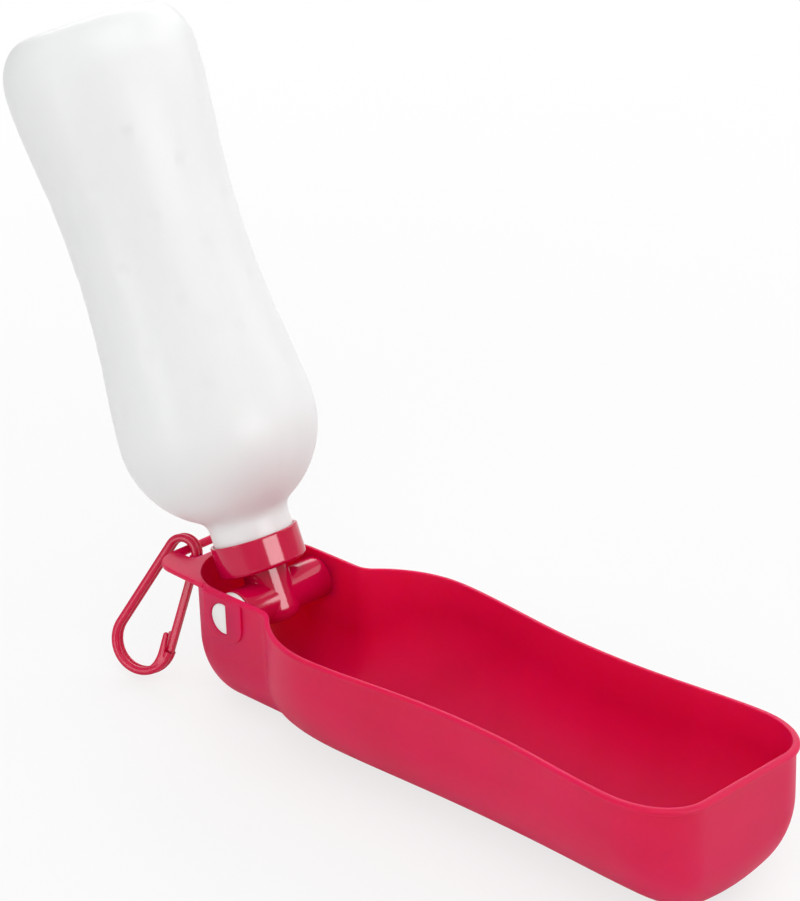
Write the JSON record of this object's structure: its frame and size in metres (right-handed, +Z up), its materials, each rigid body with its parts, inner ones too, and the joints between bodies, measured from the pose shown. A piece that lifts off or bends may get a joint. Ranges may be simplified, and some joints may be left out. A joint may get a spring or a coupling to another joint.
{
  "type": "dog travel water bottle",
  "caption": "Dog travel water bottle: a white squeeze bottle on a turning valve that folds down into its own long red drinking bowl, with a hanging carabiner",
  "frame": {"origin": "middle of the flat foot under the bowl", "axes": "+X along the bowl, from the collar that holds the bottle to the open drinking end; +Y across the bowl; +Z up. The bottle stands open, tilted 23 degrees back over the collar, as in the picture"},
  "size_m": [0.3142, 0.0756, 0.2335],
  "materials": {
    "bowl_red": "satin moulded polypropylene, fine even grain",
    "cap_red": "glossy moulded plastic",
    "core_white": "smooth off-white moulded plastic",
    "bottle_milky": "soft milky polyethylene, slightly translucent, satin",
    "carabiner_red": "semi-gloss moulded plastic",
    "gasket_rubber": "soft silicone",
    "seal_rubber": "soft black rubber",
    "pin_steel": "bright drawn wire"
  },
  "bodies": {
    "bowl": {"bowl": "bowl_red", "valve_core": "core_white", "core_seals": "seal_rubber"},
    "valve": {"valve_cap": "cap_red", "cap_gasket": "gasket_rubber"},
    "bottle": {"bottle": "bottle_milky"},
    "carabiner": {"carabiner_body": "carabiner_red", "gate_pin": "pin_steel", "gate_spring": "pin_steel"},
    "gate": {"carabiner_gate": "carabiner_red"}
  },
  "joints": [
    {"name": "bottle_fold", "type": "hinge", "parent": "bowl", "child": "valve", "pos_m": [-0.0959, 0, 0.03735], "axis": [0, 1, 0], "range_deg": [-8, 113]},
    {"name": "bottle_unscrew", "type": "hinge", "parent": "valve", "child": "bottle", "pos_m": [-0.0959, 0, 0.03735], "axis": [-0.3907, 0, 0.9205], "range_deg": [0, 540]},
    {"name": "carabiner_swing", "type": "hinge", "parent": "bowl", "child": "carabiner", "pos_m": [-0.132, 0, 0.045], "axis": [0, 1, 0], "range_deg": [-22, 90]},
    {"name": "gate_open", "type": "hinge", "parent": "carabiner", "child": "gate", "pos_m": [-0.12777, -0.00646, 0.04355], "axis": [-0.3253, 0.8937, -0.309], "range_deg": [0, 22], "stiffness_Nm_per_rad": 0.01, "springref_deg": -10.03, "deforming": ["gate_spring"]}
  ]
}
